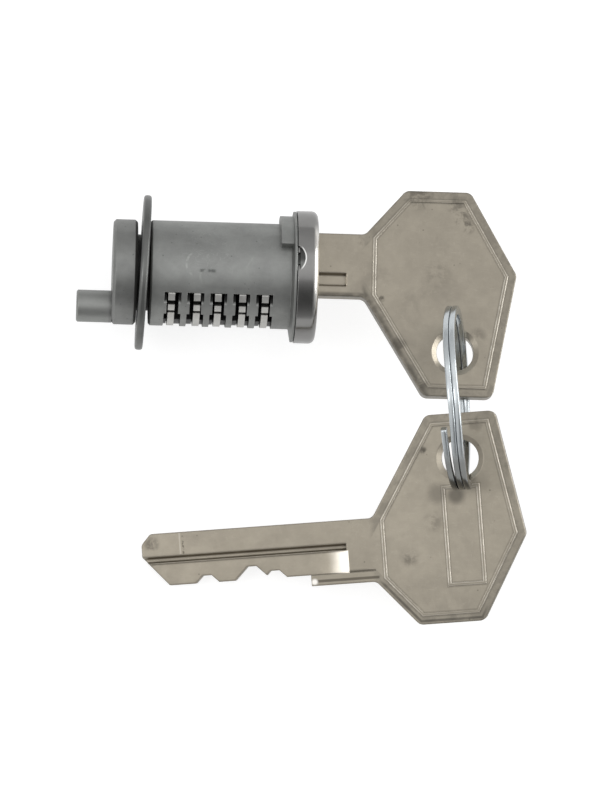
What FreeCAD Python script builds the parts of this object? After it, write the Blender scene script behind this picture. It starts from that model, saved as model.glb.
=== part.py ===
import FreeCAD, Part
import math
import os
from FreeCAD import Placement, Rotation, Vector

# A hatch lock: a die-cast wafer plug with one key in it and a spare key on the same split ring.
# X runs along the plug's axis towards the key's bow, Y across the blade towards its cuts, and
# Z square to the key's face. The origin is on the axis, in the plane of the cap's rear edge.
# Lengths are millimetres and angles are degrees.

# Running clearances
key_clearance = 0.15
slot_clearance = 0.2
seat_clearance = 0.03
guide_clearance = 0.08
window_clearance = 0.1
key_face_clearance = 0.1
cut_overrun = 1.0

# Key: distances along it are taken from its stop shoulder, distances across from its plain edge
blade_length = 23.0
blade_width = 7.2
tip_flat = 3.2
tip_slope_length = 3.5
tip_nose_width = 1.4
tip_nose_length = 1.3
tip_corner_radii = (0.7, 0.9, 0.5, 0.4)
shoulder_corner_radius = 0.15
shank_width = 8.7
key_thickness = 2.2
neck_start = 8.9
bow_across_plain_side = 13.5
bow_across_cut_side = 15.0
bow_end = 29.8
bow_widest_across = 3.6
bow_plain_flank = 8.3
bow_plain_end_flank = 3.1
bow_cut_flank = 5.5
bow_cut_end_flank = 6.5
key_hole_along = 21.5
key_hole_across = -7.3
key_hole_radius = 2.55
key_hole_rim = 0.7
key_hole_rim_depth = 0.4
bow_corner_radius = 1.2
bead_width = 0.4
bead_height = 0.12
bead_inset = 1.35
panel_along = (18.9, 23.7)
panel_across = (-3.5, 9.8)
front_groove_start = 1.35
front_groove_width = 1.9
front_groove_run_out = 6.4
back_groove_start = 3.15
back_groove_width = 1.0
back_groove_run_out = 5.1
groove_depth = 0.55
groove_flank = 0.3
milled_step_depth = 0.35
milled_step_run_out = 5.3
milled_ramp_length = 5.4
rib_line_width = 0.2
rib_line_depth = 0.15
cut_depths = (1.0, 1.8, 0.0, 1.0, 0.0)
cut_floor = 1.2
cut_flank_slope = 1.0

# Plug
barrel_length = 19.95
barrel_chamfer = 0.25
neck_radius = 5.2
neck_length = 1.75
tail_radius = 4.2
plain_edge_below_axis = 2.68
shoulder_from_seat = 0.6
keyway_end_gap = 0.3
ward_height = 0.4
slot_pitch = 3.12
first_slot_from_seat = 4.32
slot_mouth_width = 2.3
slot_width = 1.6
slot_roof_wall = 0.8
wafer_roof = 0.83
wafer_roof_gap = 0.2
wafer_travel = 0.75
slot_half_height = 6.1
slot_ear_floor = -2.4
slot_waist_inner = 3.5
slot_waist_outer = 5.0
slot_mouth_floor = -4.6
slot_guide_floor = -6.35

# Head, flange and cap
seat_cone_start = -0.76
flange_start = -0.43
flange_end = -0.12
flange_below_cap = 0.12
crimp_groove_depth = 0.35
cap_radius = 9.07
cap_wall = 0.45
cap_start = 0.0
cap_front = 2.85
cap_edge_radius = 0.8
cap_edge_flats = 5
crimp_width = 0.28
notch_radius = 2.1
notch_depth = 0.95
notch_angle = 6.0
lug_below_flange = 0.65
lug_length = 2.25
lug_start_angle = 22.0
lug_sweep = 78.0
lug_root = 0.5

# Drive disc and washer
disc_thickness = 3.3
disc_chamfer = 0.35
pin_radius = 2.2
pin_length = 4.8
pin_chamfer = 0.2
pin_rim_margin = 0.12
washer_radius = 10.6
washer_thickness = 1.05
washer_edge_radius = 0.35
washer_edge_flats = 3
washer_bore_clearance = 0.35
washer_tilt = 2.0
washer_run_gap = 0.06

# Wafers and springs
wafer_thickness = 0.9
wafer_count = len(cut_depths)
wafer_core_half = 3.3
wafer_flush_gap = 0.08
wafer_leans = (0.1, 0.14, -0.06, 0.2, -0.16)
wafer_notch_angles = (45.0, 32.1)
wafer_notch_widths = (0.7, 0.45)
wafer_notch_depth = 1.0
spring_radius = 0.6
spring_wire = 0.22
spring_length = 5.9

# Split ring
ring_outer_radius = 12.47
ring_wire_radial = 1.2
ring_wire_axial = 0.7
ring_wire_corner = 0.2
ring_turn_gap = 0.44
ring_joggle = 80.0
ring_overlap = 46.0
ring_end_at = 191.4
ring_lean = 4.4
ring_tip = 6.9
ring_center = (21.9, -17.65, 8.75)

# Spare key, as it lies: its blade's tip rests on the table and the ring holds its bow up
spare_hole = (23.18, -24.32, -0.95)
spare_turn = 5.9
spare_nose_down = 8.3
spare_roll = 10.0

# Sizes that follow from those above
half_key = key_thickness / 2
keyway_half = half_key + key_face_clearance
head_radius = cap_radius - cap_wall - seat_clearance
flange_radius = cap_radius - flange_below_cap
lug_radius = flange_radius - lug_below_flange
head_start = cap_start + crimp_width + seat_clearance
head_end = cap_front - cap_wall - seat_clearance
barrel_end = -barrel_length
neck_end = barrel_end - neck_length
disc_end = neck_end - disc_thickness
slot_centers = [-(first_slot_from_seat + slot_pitch * i) for i in range(wafer_count)]
plain_edge = -plain_edge_below_axis
cut_edge = plain_edge + blade_width
window_top = cut_edge + window_clearance + wafer_travel
barrel_radius = window_top + wafer_roof + wafer_roof_gap + slot_roof_wall


def box(x0, x1, y0, y1, z0, z1):
    return Part.makeBox(x1 - x0, y1 - y0, z1 - z0, Vector(x0, y0, z0))


def round_bar(x0, x1, radius, y=0.0, z=0.0):
    """Cylinder along X from x0 to x1."""
    return Part.makeCylinder(radius, x1 - x0, Vector(x0, y, z), Vector(1, 0, 0))


def turned(profile):
    """Solid of revolution about X from a closed list of (x, radius) corners."""
    points = [Vector(x, r, 0) for x, r in profile]
    face = Part.Face(Part.makePolygon(points + points[:1]))
    return face.revolve(Vector(0, 0, 0), Vector(1, 0, 0), 360)


def rounded_over(x, radius, soft, flats):
    """Outer corner of a turned profile, rounded over in equal flats from its face to its rim."""
    turns = [math.radians(90.0 * i / flats) for i in range(flats + 1)]
    return [(x - soft * (1 - math.cos(turn)), radius - soft * (1 - math.sin(turn)))
            for turn in turns]


def rounded_outline(corners):
    """Closed wire through (x, y, radius) corners, each rounded by a tangent arc of its radius."""
    edges = []
    count = len(corners)
    starts = []
    for i in range(count):
        here = Vector(corners[i][0], corners[i][1], 0)
        before = Vector(*corners[i - 1][:2], 0) - here
        after = Vector(*corners[(i + 1) % count][:2], 0) - here
        before.normalize()
        after.normalize()
        half = before.getAngle(after) / 2
        radius = corners[i][2]
        reach = radius / math.tan(half) if radius else 0.0
        first = here + before * reach
        last = here + after * reach
        inward = before + after
        middle = here
        if radius:
            inward.normalize()
            middle = here + inward * (radius / math.sin(half) - radius)
        starts.append((first, middle, last, radius))
    for i in range(count):
        first, middle, last, radius = starts[i]
        if radius:
            edges.append(Part.Arc(first, middle, last).toShape())
        following = starts[(i + 1) % count][0]
        if last.distanceToPoint(following) > 1e-6:
            edges.append(Part.LineSegment(last, following).toShape())
    return Part.Wire(edges)


def plate(wire, z0, z1):
    """Flat plate between two heights from an outline in the XY plane."""
    face = Part.Face(wire)
    face.translate(Vector(0, 0, z0))
    return face.extrude(Vector(0, 0, z1 - z0))


def inset(points, distance):
    """Polygon drawn in by a distance, where each new corner is where two shifted sides meet."""
    count = len(points)
    center = Vector(sum(p[0] for p in points) / count, sum(p[1] for p in points) / count, 0)
    sides = []
    for i in range(count):
        a = Vector(*points[i], 0)
        b = Vector(*points[(i + 1) % count], 0)
        along = (b - a).normalize()
        inward = Vector(-along.y, along.x, 0)
        if inward.dot(center - a) < 0:
            inward = inward * -1
        sides.append((a + inward * distance, along))
    result = []
    for i in range(count):
        a, u = sides[i - 1]
        b, w = sides[i]
        cross = u.x * w.y - u.y * w.x
        step = ((b - a).x * w.y - (b - a).y * w.x) / cross
        corner = a + u * step
        result.append((corner.x, corner.y))
    return result


def bead(points, z0, z1):
    """Raised line of the bead's width that follows a polygon."""
    outer = [(x, y, 0) for x, y in inset(points, -bead_width / 2)]
    inner = [(x, y, 0) for x, y in inset(points, bead_width / 2)]
    ring = Part.Face(rounded_outline(outer)).cut(Part.Face(rounded_outline(inner)))
    ring.translate(Vector(0, 0, z0))
    return ring.extrude(Vector(0, 0, z1 - z0))


def bow_corners():
    """The bow's seven corners, from the neck's plain side round to its cut side."""
    return [(neck_start, 0.0),
            (neck_start + bow_plain_flank, -bow_across_plain_side),
            (bow_end - bow_plain_end_flank, -bow_across_plain_side),
            (bow_end, bow_widest_across),
            (bow_end - bow_cut_end_flank, bow_across_cut_side),
            (neck_start + bow_cut_flank, bow_across_cut_side),
            (neck_start, shank_width)]


def bitting_cuts():
    """One flat-floored cut in the blade under each wafer, opening outwards with sloped flanks."""
    above = cut_overrun
    cuts = []
    for center, depth in zip(slot_centers, cut_depths):
        if depth == 0:
            continue
        x = center - shoulder_from_seat
        floor = cut_floor / 2
        mouth = floor + (depth + above) * cut_flank_slope
        corners = [(x + mouth, blade_width + above, 0), (x + floor, blade_width - depth, 0),
                   (x - floor, blade_width - depth, 0), (x - mouth, blade_width + above, 0)]
        cuts.append(plate(rounded_outline(corners), -half_key, half_key))
    return cuts


def groove(start, width, end, face):
    """Long groove with sloped flanks in one face (1 front, -1 back), from the tip to its end."""
    mouth = [(start, 0), (start + width, 0)]
    floor = [(start + width - groove_flank, groove_depth), (start + groove_flank, groove_depth)]
    tip = -blade_length - cut_overrun
    points = [Vector(tip, y, face * (half_key - depth)) for y, depth in mouth + floor]
    section = Part.Face(Part.makePolygon(points + points[:1]))
    return section.extrude(Vector(end - tip, 0, 0))


def milled_step():
    """Thinner cut side on the back, whose floor rises to the face where the cutter ran out."""
    far = back_groove_start + back_groove_width
    ramp_start = milled_step_run_out - milled_ramp_length
    radius = (milled_ramp_length ** 2 + milled_step_depth ** 2) / (2 * milled_step_depth)
    floor = milled_step_depth - half_key
    flat = box(-blade_length - cut_overrun, ramp_start, far, blade_width, -half_key, floor)
    cutter = Part.makeCylinder(radius, blade_width - far, Vector(ramp_start, far, floor - radius),
                               Vector(0, 1, 0))
    ramp = cutter.common(box(ramp_start, milled_step_run_out, far, blade_width, -half_key, 0))
    return flat.fuse(ramp)


def key():
    """Flat key, lying in the XY plane with its stop shoulder and plain edge at the origin."""
    tip = -blade_length
    bow = [(x, y, bow_corner_radius) for x, y in bow_corners()]
    cut_side, plain_side, nose, slope = tip_corner_radii
    corners = [(tip, tip_flat, cut_side), (tip, tip_nose_width, plain_side),
               (tip + tip_nose_length, 0, nose)] + bow
    corners += [(0, shank_width, shoulder_corner_radius), (0, blade_width, 0)]
    corners.append((tip + tip_slope_length, blade_width, slope))
    solid = plate(rounded_outline(corners), -half_key, half_key)
    solid = solid.cut(bitting_cuts())

    hole = Vector(key_hole_along, key_hole_across, -half_key)
    solid = solid.cut(Part.makeCylinder(key_hole_radius, key_thickness, hole))
    for z, direction in ((-half_key, 1), (half_key, -1)):
        mouth = Part.makeCone(key_hole_radius + key_hole_rim, key_hole_radius, key_hole_rim_depth,
                              Vector(key_hole_along, key_hole_across, z), Vector(0, 0, direction))
        solid = solid.cut(mouth)

    front = groove(front_groove_start, front_groove_width, front_groove_run_out, 1)
    back = groove(back_groove_start, back_groove_width, back_groove_run_out, -1)
    rib_line = box(milled_step_run_out, neck_start, blade_width - rib_line_width, blade_width,
                   -half_key, rib_line_depth - half_key)
    solid = solid.cut([front, back, milled_step(), rib_line])

    border = inset(bow_corners(), bead_inset)
    panel = [(panel_along[0], panel_across[0]), (panel_along[1], panel_across[0]),
             (panel_along[1], panel_across[1]), (panel_along[0], panel_across[1])]
    beads = [bead(border, half_key, half_key + bead_height),
             bead(border, -half_key - bead_height, -half_key),
             bead(panel, -half_key - bead_height, -half_key)]
    return solid.fuse(beads).removeSplitter()


def key_in_lock_place():
    return Placement(Vector(shoulder_from_seat, plain_edge, 0), Rotation())


def spare_key_place():
    """Turned over, swung a little out of line, and tilted so that its tip is low."""
    turn = Rotation(Vector(1, 0, 0), spare_roll)
    turn = turn.multiply(Rotation(Vector(0, 1, 0), -spare_nose_down))
    turn = turn.multiply(Rotation(Vector(0, 0, 1), spare_turn))
    turn = turn.multiply(Rotation(Vector(1, 0, 0), 180))
    hole = turn.multVec(Vector(key_hole_along, key_hole_across, 0))
    return Placement(Vector(*spare_hole) - hole, turn)


def keyway():
    """The blade's outline with its clearance, and a wider mouth for the shank."""
    rear = shoulder_from_seat - blade_length - keyway_end_gap
    low = plain_edge - key_clearance
    high = cut_edge + key_clearance
    nose = plain_edge + tip_flat + key_clearance
    slope_end = rear + tip_slope_length
    front = head_end + cut_overrun
    corners = [(front, low), (rear, low), (rear, nose), (slope_end, high), (front, high)]
    slot = plate(rounded_outline([(x, y, 0) for x, y in corners]), -keyway_half, keyway_half)
    mouth = box(shoulder_from_seat - seat_clearance, front, low,
                plain_edge + shank_width + key_clearance, -keyway_half, keyway_half)
    return slot.fuse(mouth)


def wards():
    """Ribs in the keyway that run in the blade's two grooves, as wide as the grooves' floors."""
    front_low = plain_edge + front_groove_start + groove_flank
    back_low = plain_edge + back_groove_start + groove_flank
    wall = keyway_half
    front = box(barrel_end, 0, front_low, front_low + front_groove_width - 2 * groove_flank,
                wall - ward_height, wall)
    back = box(barrel_end, 0, back_low, back_low + back_groove_width - 2 * groove_flank,
               -wall, ward_height - wall)
    return [front, back]


def wafer_slot(center, lean):
    """One slot. Its near half has side bays for the wafer's ears, the spring's bay and a mouth
    that is waisted at the ears. Its far half guides the wafer closely, up to a short mouth."""
    half = slot_width / 2
    wide = slot_mouth_width / 2
    guide = wafer_thickness / 2 + guide_clearance
    x = center + lean
    open_side = -barrel_radius - cut_overrun
    inner = slot_waist_inner
    near_side = box(center - half, center + half, open_side, 0, 0, inner)
    far_side = box(x - guide, x + guide, open_side, 0, -inner, 0)
    roof = box(x - guide, x + guide, 0, barrel_radius, -inner, inner)
    roof = roof.common(round_bar(x - guide, x + guide, barrel_radius - slot_roof_wall))
    near_ear = box(center - half, center + half, open_side, slot_ear_floor, 0, slot_half_height)
    far_ear = box(x - guide, x + guide, open_side, slot_ear_floor, -slot_half_height, 0)
    bay_top = slot_ear_floor + spring_length
    bay = box(x - spring_radius - slot_clearance, x + spring_radius + slot_clearance, slot_ear_floor,
              bay_top, inner, slot_waist_outer - guide_clearance)
    mouths = [box(center - wide, center + wide, open_side, slot_mouth_floor, 0, inner),
              box(center - wide, center + wide, open_side, slot_ear_floor,
                  slot_waist_outer, slot_half_height),
              box(center - wide, center + wide, open_side, slot_guide_floor, -inner, 0)]
    return near_side.fuse([far_side, roof, near_ear, far_ear, bay] + mouths)


def plug_body():
    """Barrel, seat cone, flange, crimp groove and head turned as one, then slotted. The turned
    shell's seam lies on the slots' side, where it halves the narrow ribs between them."""
    groove_radius = head_radius - crimp_groove_depth
    shell = turned([(disc_end, 0), (disc_end, tail_radius), (neck_end, tail_radius),
                    (neck_end, neck_radius), (barrel_end, neck_radius),
                    (barrel_end, barrel_radius - barrel_chamfer),
                    (barrel_end + barrel_chamfer, barrel_radius),
                    (seat_cone_start, barrel_radius), (flange_start, flange_radius),
                    (flange_end, flange_radius), (flange_end, groove_radius),
                    (head_start, groove_radius), (head_start, head_radius),
                    (head_end, head_radius), (head_end, 0)])
    shell.rotate(Vector(0, 0, 0), Vector(1, 0, 0), 180)
    root = barrel_radius - lug_root
    lug_corners = [Vector(-lug_length, 0, root), Vector(-lug_length, 0, lug_radius),
                   Vector(flange_end, 0, lug_radius), Vector(flange_end, 0, root)]
    lug_face = Part.Face(Part.makePolygon(lug_corners + lug_corners[:1]))
    lug_face.rotate(Vector(0, 0, 0), Vector(1, 0, 0), -lug_start_angle)
    lug = lug_face.revolve(Vector(0, 0, 0), Vector(1, 0, 0), -lug_sweep)
    body = shell.fuse(lug).cut(keyway()).fuse(wards())
    slots = [wafer_slot(center, lean) for center, lean in zip(slot_centers, wafer_leans)]
    return body.cut(slots).removeSplitter()


def front_cap():
    """Pressed cap, crimped behind the head, with the key's slot and one notch in its rear edge."""
    inside = cap_radius - cap_wall
    lip = inside - crimp_groove_depth + seat_clearance
    front = cap_front - cap_wall
    edge = rounded_over(cap_front, cap_radius, cap_edge_radius, cap_edge_flats)
    cap = turned([(cap_start, lip), (cap_start, cap_radius)] + edge[::-1]
                 + [(cap_front, 0), (front, 0), (front, inside),
                    (cap_start + crimp_width, inside), (cap_start + crimp_width, lip)])
    slot = box(0, cap_front + cut_overrun, plain_edge - key_clearance,
               plain_edge + shank_width + key_clearance, -keyway_half, keyway_half)
    notch_center = cap_start + notch_depth - notch_radius
    notch = Part.makeCylinder(notch_radius, cap_radius,
                              Vector(notch_center, 0, lip - seat_clearance))
    notch.rotate(Vector(0, 0, 0), Vector(1, 0, 0), -notch_angle)
    return cap.cut([slot, notch])


def drive_disc():
    """Disc staked on the plug's tail, with the off-centre pin that works the latch."""
    bore = tail_radius + seat_clearance
    disc = turned([(disc_end, bore), (disc_end, barrel_radius - disc_chamfer),
                   (disc_end + disc_chamfer, barrel_radius), (neck_end - disc_chamfer, barrel_radius),
                   (neck_end, barrel_radius - disc_chamfer), (neck_end, bore)])
    offset = barrel_radius - pin_radius - pin_rim_margin
    pin_end = disc_end - pin_length
    pin = round_bar(pin_end + pin_chamfer, disc_end, pin_radius, -offset)
    tip = Part.makeCone(pin_radius, pin_radius - pin_chamfer, pin_chamfer,
                        Vector(pin_end + pin_chamfer, -offset, 0), Vector(-1, 0, 0))
    return disc.fuse([pin, tip]).removeSplitter()


def washer_center():
    """The washer leans in the neck and all but touches the barrel's end on its upper side."""
    lean = math.radians(washer_tilt)
    reach = washer_thickness / 2 * math.cos(lean) + barrel_radius * math.sin(lean)
    return Vector(barrel_end - reach - washer_run_gap, 0, 0)


def retaining_washer():
    """Stamped washer with both edges of its rim rounded over."""
    half = washer_thickness / 2
    bore = neck_radius + washer_bore_clearance
    edge = rounded_over(half, washer_radius, washer_edge_radius, washer_edge_flats)
    far_edge = [(-x, r) for x, r in reversed(edge)]
    washer = turned([(-half, bore), (half, bore)] + edge + far_edge)
    washer.Placement = Placement(washer_center(), Rotation(Vector(0, 0, 1), -washer_tilt))
    return washer


def wafer(center):
    """Flat wafer with its window, two ears and the notched end that shows in the slot."""
    x0 = center - wafer_thickness / 2
    x1 = center + wafer_thickness / 2
    end_radius = barrel_radius - wafer_flush_gap
    roof_radius = barrel_radius - slot_roof_wall - wafer_roof_gap
    ear_top = slot_ear_floor - slot_clearance
    ear_half = slot_half_height - slot_clearance
    core = wafer_core_half
    low = box(x0, x1, -barrel_radius, 0, -core, core)
    ears = box(x0, x1, -barrel_radius, ear_top, -ear_half, ear_half)
    low = low.fuse(ears).common(round_bar(x0, x1, end_radius))
    high = box(x0, x1, 0, barrel_radius, -core, core).common(round_bar(x0, x1, roof_radius))
    window_half = keyway_half + window_clearance
    window = box(x0, x1, plain_edge - key_clearance, window_top, -window_half, window_half)
    notches = []
    for angle, width in zip(wafer_notch_angles, wafer_notch_widths):
        for turn in (-angle, angle):
            notch = box(x0, x1, -barrel_radius, wafer_notch_depth - end_radius,
                        -width / 2, width / 2)
            notch.rotate(Vector(0, 0, 0), Vector(1, 0, 0), turn)
            notches.append(notch)
    return low.fuse(high).cut([window] + notches).removeSplitter()


def wafer_spring(center):
    """Sleeve that takes up the coil spring's room between a wafer's ear and its bay's end."""
    z = (slot_waist_inner + slot_waist_outer) / 2
    y = slot_ear_floor - slot_clearance + seat_clearance
    base = Vector(center, y, z)
    up = Vector(0, 1, 0)
    height = spring_length + slot_clearance - 2 * seat_clearance
    tube = Part.makeCylinder(spring_radius, height, base, up)
    return tube.cut(Part.makeCylinder(spring_radius - spring_wire, height, base, up))


def arc_between(start, along, end):
    """Arc from start, leaving along a unit direction, to end."""
    chord = end - start
    if (chord.normalize() - along).Length < 1e-6:
        return Part.LineSegment(start, end).toShape()
    chord = end - start
    side = chord - along * chord.dot(along)
    side.normalize()
    radius = chord.Length ** 2 / (2 * chord.dot(side))
    center = start + side * radius
    middle = (start + end) * 0.5 - center
    return Part.Arc(start, center + middle.normalize() * radius, end).toShape()


def biarc(p0, t0, p1, t1):
    """Two tangent arcs from p0 along t0 to p1 along t1."""
    v = p1 - p0
    t = t0 + t1
    twist = 2 * (1 - t0.dot(t1))
    reach = v.dot(t)
    d = (math.sqrt(reach ** 2 + twist * v.dot(v)) - reach) / twist
    joint = (p0 + t0 * d + p1 - t1 * d) * 0.5
    along = (p1 - t1 * d) - (p0 + t0 * d)
    return [arc_between(p0, t0, joint), arc_between(joint, along.normalize(), p1)]


def ring_point(angle):
    """Centre of the wire at an angle along its turns, with its direction of travel. The wire steps
    over by one pitch in the last part of each full turn, so its ends lie beside the other turns."""
    mean = ring_outer_radius - ring_wire_radial / 2
    pitch = ring_wire_axial + ring_turn_gap
    turns, rest = divmod(angle, 360)
    share = max(rest - (360 - ring_joggle), 0.0) / ring_joggle
    height = pitch * (turns + share * share * (3 - 2 * share) - 0.5)
    climb = pitch * 6 * share * (1 - share) / math.radians(ring_joggle)
    a = math.radians(angle)
    direction = Vector(-mean * math.sin(a), mean * math.cos(a), climb)
    return Vector(mean * math.cos(a), mean * math.sin(a), height), direction.normalize()


def split_ring():
    """Flat wire wound twice round and a little more, in one unbroken pipe with cut corners."""
    plain = 360 - ring_joggle
    stops = [0.0]
    for turn in (0, 360):
        stops += [turn + plain * i / 3 for i in (1, 2, 3)]
        stops += [turn + plain + ring_joggle * i / 4 for i in (1, 2, 3, 4)]
    stops.append(720 + ring_overlap)
    edges = []
    for a, b in zip(stops, stops[1:]):
        p0, t0 = ring_point(a)
        p1, t1 = ring_point(b)
        edges += biarc(p0, t0, p1, t1)
    path = Part.Wire(edges)
    w = ring_wire_radial / 2
    h = ring_wire_axial / 2
    cut = ring_wire_corner
    corners = [(-w, cut - h), (cut - w, -h), (w - cut, -h), (w, cut - h),
               (w, h - cut), (w - cut, h), (cut - w, h), (-w, h - cut)]
    section = rounded_outline([(x, y, 0) for x, y in corners])
    p0, t0 = ring_point(0)
    outward = Vector(1, 0, 0)
    axis = t0.cross(outward)
    section.Placement = Placement(FreeCAD.Matrix(
        outward.x, axis.x, t0.x, p0.x, outward.y, axis.y, t0.y, p0.y,
        outward.z, axis.z, t0.z, p0.z, 0, 0, 0, 1))
    shell = path.makePipeShell([section], True, False)
    print("split ring: least gap between its turns %.3f mm, volume %.2f mm3, section x length %.2f mm3"
          % (least_ring_gap(), shell.Volume, Part.Face(section).Area * path.Length))
    shell.rotate(Vector(0, 0, 0), Vector(0, 0, 1), ring_end_at)
    shell.Placement = ring_place().multiply(shell.Placement)
    return shell


def least_ring_gap():
    """Least distance between the wire's turns, measured on points and less one thickness."""
    points = [ring_point(angle)[0] for angle in range(0, int(720 + ring_overlap) + 1)]
    least = min(points[i].distanceToPoint(points[j])
                for i in range(0, len(points), 2) for j in range(i + 200, len(points), 2))
    return least - ring_wire_axial


def ring_place():
    """The ring's plane stands across the lock's axis, a little leaning and a little tipped."""
    lean = math.tan(math.radians(ring_lean))
    tip = math.tan(math.radians(ring_tip))
    axis = Vector(1, lean, tip).normalize()
    return Placement(Vector(*ring_center), Rotation(Vector(0, 0, 1), axis))


def write(name, shape):
    solids = shape.Solids
    if not shape.isValid() or not solids:
        print("check", name, "valid", shape.isValid(), "solids", len(solids))
    if len(solids) == 1:
        shape = solids[0]
    shape.exportStep("parts/%s.step" % name)
    low = shape.BoundBox
    print("%-18s solids %d volume %8.2f  x %.2f..%.2f  y %.2f..%.2f  z %.2f..%.2f"
          % (name, len(solids), shape.Volume, low.XMin, low.XMax, low.YMin, low.YMax, low.ZMin, low.ZMax))


def main():
    os.makedirs("parts", exist_ok=True)
    write("plug_body", plug_body())
    write("front_cap", front_cap())
    write("drive_disc", drive_disc())
    write("retaining_washer", retaining_washer())
    for number, (center, lean) in enumerate(zip(slot_centers, wafer_leans), 1):
        write("wafer_%d" % number, wafer(center + lean))
        write("wafer_spring_%d" % number, wafer_spring(center + lean))
    key_shape = key()
    for name, place in (("key_in_lock", key_in_lock_place()), ("spare_key", spare_key_place())):
        copy = key_shape.copy()
        copy.Placement = place
        write(name, copy)
    write("split_ring", split_ring())
    print("washer: center at x %.3f" % washer_center().x)


main()
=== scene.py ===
import math

import bpy
import numpy as np
from mathutils import Matrix, Vector


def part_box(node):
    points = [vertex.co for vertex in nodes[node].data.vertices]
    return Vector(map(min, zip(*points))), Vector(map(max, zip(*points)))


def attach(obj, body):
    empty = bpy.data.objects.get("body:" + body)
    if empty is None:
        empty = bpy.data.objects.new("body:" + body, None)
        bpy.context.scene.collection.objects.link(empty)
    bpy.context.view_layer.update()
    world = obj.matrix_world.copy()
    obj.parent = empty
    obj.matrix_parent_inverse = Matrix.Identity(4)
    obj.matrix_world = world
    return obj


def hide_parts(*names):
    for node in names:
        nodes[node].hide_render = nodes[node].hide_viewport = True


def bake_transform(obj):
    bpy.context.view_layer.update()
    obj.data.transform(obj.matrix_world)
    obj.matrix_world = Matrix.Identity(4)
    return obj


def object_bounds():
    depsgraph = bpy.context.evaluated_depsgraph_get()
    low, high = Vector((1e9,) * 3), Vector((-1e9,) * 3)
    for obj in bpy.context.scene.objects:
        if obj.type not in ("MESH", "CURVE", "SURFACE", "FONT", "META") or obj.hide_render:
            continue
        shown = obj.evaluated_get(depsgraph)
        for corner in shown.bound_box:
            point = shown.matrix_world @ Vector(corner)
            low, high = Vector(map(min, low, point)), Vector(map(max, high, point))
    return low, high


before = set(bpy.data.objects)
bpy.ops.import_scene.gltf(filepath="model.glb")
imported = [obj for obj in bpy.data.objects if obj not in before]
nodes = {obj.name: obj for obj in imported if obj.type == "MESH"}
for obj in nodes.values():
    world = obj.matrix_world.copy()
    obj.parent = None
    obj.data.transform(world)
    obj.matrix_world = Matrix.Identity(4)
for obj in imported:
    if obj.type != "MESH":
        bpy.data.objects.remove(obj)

cad_low, cad_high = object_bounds()
MM = 0.001
scene = bpy.context.scene
WAFERS = range(1, 6)

# Places on the lock, in millimetres: its axis is X, and the cap's rear edge is at 0. Each of RUBS
# is a pale arc's middle, seen along Z, its radius and its strength.
BARREL_RADIUS = 7.2
# The next span along X holds the greasy film and painted shade inside the barrel's skin.
GREASY_AND_SHADED = (-21.6, -0.5)
PIN_START = -25.4
CAP_FRONT, NOTCH, NOTCH_RADIUS = 2.85, (-1.15, 0.94), 2.1
RUBS = (((-13.4, 0.0), 1.7, 0.42), ((-12.2, -1.6), 1.0, 0.25), ((-5.0, -0.6), 1.9, 0.2))
SCRAPE = (-13.1, -11.3)

# Places on a key: along it from the shoulder, across from its plain edge, and through it. The bow's raised
# line runs RAISED_LINE_DEPTH inside its outline. Raised lines get more painted highlight where they run
# across the key, and the margins keep that off the parts that run along it.
BOW = ((8.9, 0), (17.2, -13.5), (26.7, -13.5), (29.8, 3.6), (23.3, 15.0), (14.4, 15.0), (8.9, 8.7))
BOW_START, BOW_PLAIN_END, BOW_CUT_END = 8.9, -13.5, 15.0
RAISED_LINE_DEPTH, RAISED_LINE_MARGIN = 1.35, 1.9
PANEL_MIDDLE, PANEL_HALF, PANEL_MARGIN = (21.3, 3.15), (2.4, 6.65), 0.3
HALF_KEY = 1.1
PRESSED_LINE, DOTTED_LINE, LINES_ACROSS = (-17.75, -17.65), (-17.35, -17.2), (0.2, 2.9)
RAMP_ALONG, RAMP_ACROSS = (0.0, 5.3), (4.2, 7.15)
# SEAM_ALONG and SEAM_ACROSS bound the dark seam, and the last place is that of the painted glint at the tab's
# corner.
SEAM_ALONG, SEAM_ACROSS, CORNER_GLINT = (0.9, 9.2), (7.95, 8.2), (0.45, 8.15)

# Colours of the marks, laid over the metals' own. Some are painted light: highlights on the cap's rim and
# notch edge, on the raised lines' edges and where the milled step runs out, and a glint at the tab's corner;
# shade on the head behind the notch, on the raised lines' tops and along the keys' lower edges; a dark
# reflection low on the ring; and shade together with greasy film in the slots and on the wafers, and with
# soiling at the raised lines' feet.
TINTS = {
    "cast cloud": (0.19, 0.19, 0.19), "cast rub": (0.52, 0.53, 0.51), "cast scrape": (0.10, 0.105, 0.10),
    "cast curl": (0.50, 0.51, 0.49), "pit": (0.10, 0.10, 0.10), "slot greasy film and shade": (0.012, 0.012, 0.012),
    "pin": (0.325, 0.331, 0.320), "hidden head shade": (0.02, 0.02, 0.02),
    "cap rim highlight": (0.88, 0.86, 0.82), "notch edge highlight": (0.95, 0.95, 0.93), "wafer greasy film and shade": (0.03, 0.03, 0.03),
    "ring dark reflection": (0.12, 0.115, 0.10),
    "key mottle": (0.23, 0.21, 0.175), "key patch": (0.19, 0.172, 0.145), "bow border": (0.20, 0.185, 0.155),
    "border cloud": (0.12, 0.11, 0.095), "smudge": (0.10, 0.09, 0.075), "speck": (0.10, 0.09, 0.07),
    "line edge highlight": (0.78, 0.73, 0.64), "line top shade": (0.18, 0.165, 0.14), "line foot shade and soiling": (0.14, 0.128, 0.105),
    "lower edge shade": (0.085, 0.078, 0.066), "ring shade": (0.12, 0.11, 0.092), "shank": (0.23, 0.205, 0.165),
    "pressed line": (0.55, 0.51, 0.44), "ramp highlight": (1.0, 0.94, 0.84), "seam": (0.10, 0.088, 0.07),
    "corner glint": (1.0, 0.97, 0.92),
}


# Shader helpers

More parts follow.
